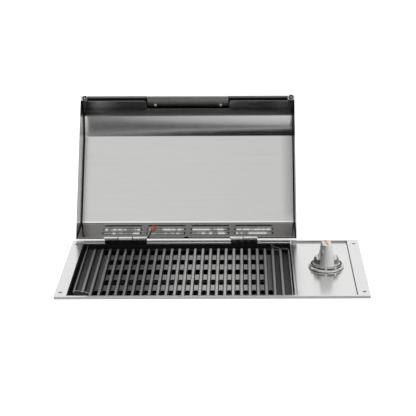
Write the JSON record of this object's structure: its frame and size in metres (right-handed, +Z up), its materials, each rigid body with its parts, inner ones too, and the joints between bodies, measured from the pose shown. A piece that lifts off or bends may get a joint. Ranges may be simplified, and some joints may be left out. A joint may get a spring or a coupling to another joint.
{
  "type": "built-in electric grill",
  "caption": "Stainless countertop grill with a slotted cast grate, a hinged louvred hood, a draw-out hinge pin and a heat knob on a sunk side panel.",
  "frame": {"origin": "middle of the front flange's underside, at the level of the worktop", "axes": "+X along the front edge to the right, +Y towards the back, +Z up"},
  "size_m": [0.533, 0.5114, 0.3426],
  "materials": {
    "brushed_steel": "fine brushed stainless sheet",
    "satin_steel": "satin stainless",
    "polished_steel": "polished stainless",
    "galvanised_steel": "zinc coated sheet, dull",
    "black_enamel": "black vitreous enamel",
    "coated_casting": "cast, with a grey non-stick coating",
    "element_sheath": "heat-darkened alloy tube",
    "grey_rubber": "moulded rubber",
    "pointer_orange": "orange-red inlay",
    "cap_rubber": "orange-red silicone rubber",
    "knob_metal": "satin metallic",
    "black_plastic": "moulded heat-proof plastic",
    "pale_ceramic": "ceramic",
    "zinc_plate": "zinc plated",
    "wire_brown": "silicone insulation",
    "wire_blue": "silicone insulation",
    "wire_red": "silicone insulation",
    "wire_green": "silicone insulation"
  },
  "bodies": {
    "base": {"fascia_frame": "brushed_steel", "element_support_left": "satin_steel", "element_support_right": "satin_steel", "drip_tray": "satin_steel", "hinge_frame_leaf_left": "satin_steel", "hinge_frame_leaf_right": "satin_steel", "knob_bezel": "polished_steel", "hinge_pin_right": "polished_steel", "fixing_screw_front_left": "polished_steel", "fixing_screw_rear_left": "polished_steel", "fixing_screw_front_right": "polished_steel", "fixing_screw_rear_right": "polished_steel", "casing": "galvanised_steel", "firebox_tub": "black_enamel", "heating_element": "element_sheath", "heat_regulator": "black_plastic", "cable_gland": "black_plastic", "gland_nut": "black_plastic", "terminal_block": "pale_ceramic", "terminal_plate_front": "zinc_plate", "terminal_plate_rear": "zinc_plate", "lead_live": "wire_brown", "lead_neutral": "wire_blue", "lead_switched": "wire_red", "lead_earth": "wire_green"},
    "lid": {"lid_shell": "brushed_steel", "lid_liner": "brushed_steel", "handle_mount_plate": "satin_steel", "lid_handle": "polished_steel", "handle_screw_left": "polished_steel", "handle_screw_right": "polished_steel", "buffer_left": "grey_rubber", "buffer_right": "grey_rubber", "hinge_lid_leaf_left": "satin_steel", "hinge_lid_leaf_right": "satin_steel"},
    "release_pin": {"release_pin": "polished_steel", "release_pin_cap": "cap_rubber"},
    "grate": {"cooking_grate": "coated_casting"},
    "regulator_cam": {"regulator_cam": "pale_ceramic"},
    "knob": {"regulator_shaft": "satin_steel", "knob": "knob_metal", "knob_pointer": "pointer_orange"}
  },
  "joints": [
    {"name": "lid_swing", "type": "hinge", "parent": "base", "child": "lid", "pos_m": [0, 0.2918, 0.0096], "axis": [-1, 0, 0], "range_deg": [-125, 0]},
    {"name": "pin_pull", "type": "slide", "parent": "lid", "child": "release_pin", "axis": [1, 0, 0], "range_m": [0, 0.085]},
    {"name": "grate_lift", "type": "slide", "parent": "base", "child": "grate", "axis": [0, 0, 1], "range_m": [0, 0.06]},
    {"name": "knob_turn", "type": "hinge", "parent": "base", "child": "regulator_cam", "pos_m": [0.1995, 0.1486, 0], "axis": [0, 0, 1], "range_deg": [-270, 0]},
    {"name": "knob_push", "type": "slide", "parent": "regulator_cam", "child": "knob", "axis": [0, 0, -1], "range_m": [0, 0.003], "stiffness_N_per_m": 500, "springref_m": -0.004}
  ]
}
